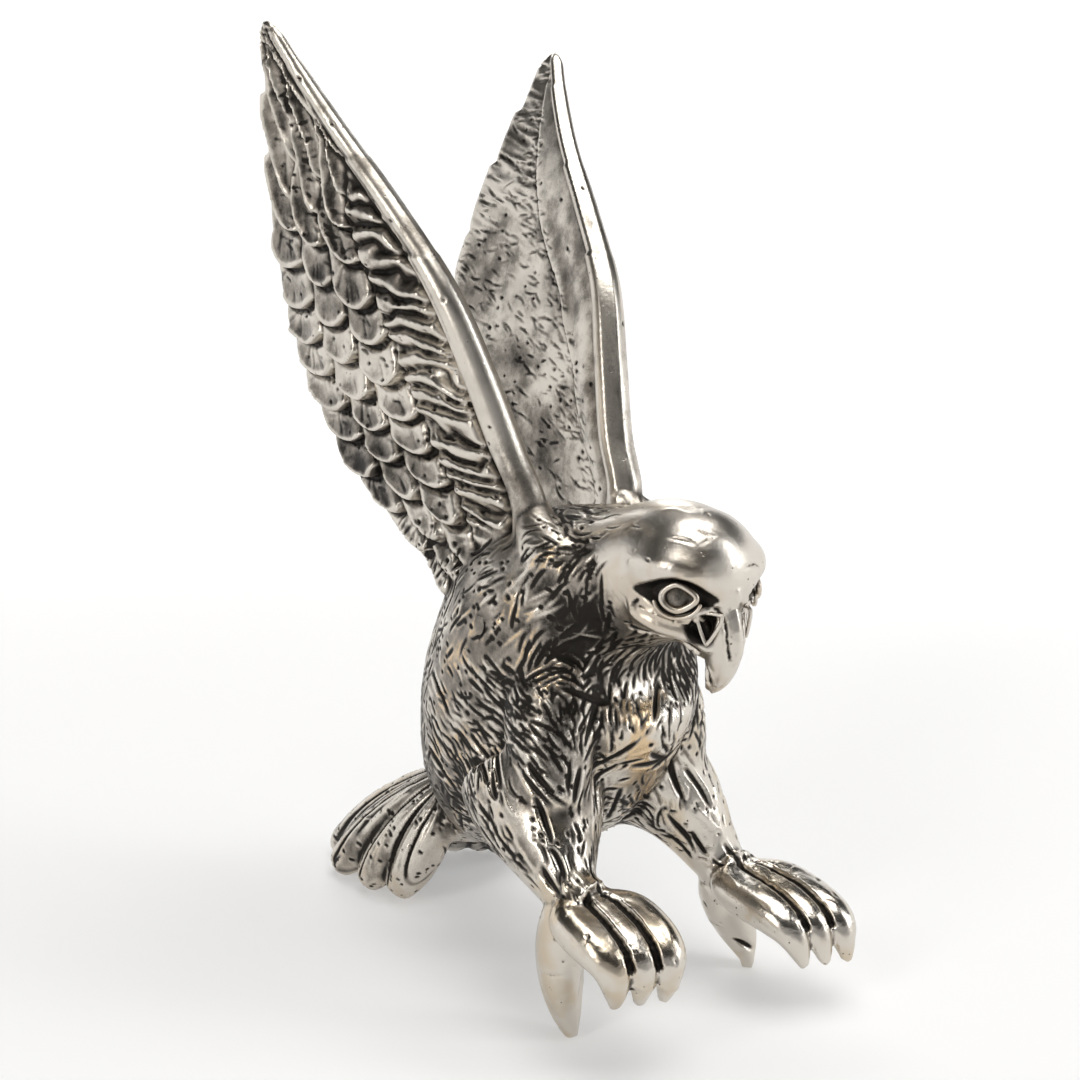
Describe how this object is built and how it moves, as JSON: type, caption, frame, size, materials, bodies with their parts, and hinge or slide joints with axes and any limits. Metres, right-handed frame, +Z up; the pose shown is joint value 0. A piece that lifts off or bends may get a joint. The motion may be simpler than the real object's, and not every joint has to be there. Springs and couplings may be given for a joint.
{
  "type": "bird of prey figurine",
  "caption": "Cast metal bird of prey figurine alighting with raised wings, forward talons and a braced tail; separate pinned castings; free-standing.",
  "frame": {"origin": "middle of the bounding box's footprint, on the ground", "axes": "+Z up, the bird faces -Y, its right side is -X"},
  "size_m": [0.0402, 0.0684, 0.0998],
  "materials": {
    "body_silver": "antiqued silver, engraved plumage, dark patina in the cuts",
    "head_silver": "antiqued silver, burnished bright on the crown and beak",
    "wing_silver": "antiqued silver, bright feather rims over dark recesses",
    "leg_silver": "antiqued silver, burnished toes and engraved thighs",
    "tail_silver": "antiqued silver, bright ridges and dark grooves",
    "pin_silver": "antiqued silver, filed flush"
  },
  "bodies": {
    "root": {"torso": "body_silver", "head": "head_silver", "right_wing": "wing_silver", "left_wing": "wing_silver", "right_leg": "leg_silver", "left_leg": "leg_silver", "tail": "tail_silver", "neck_pin": "pin_silver", "right_wing_pin": "pin_silver", "left_wing_pin": "pin_silver", "right_leg_pin": "pin_silver", "left_leg_pin": "pin_silver", "tail_pin": "pin_silver"}
  },
  "joints": []
}
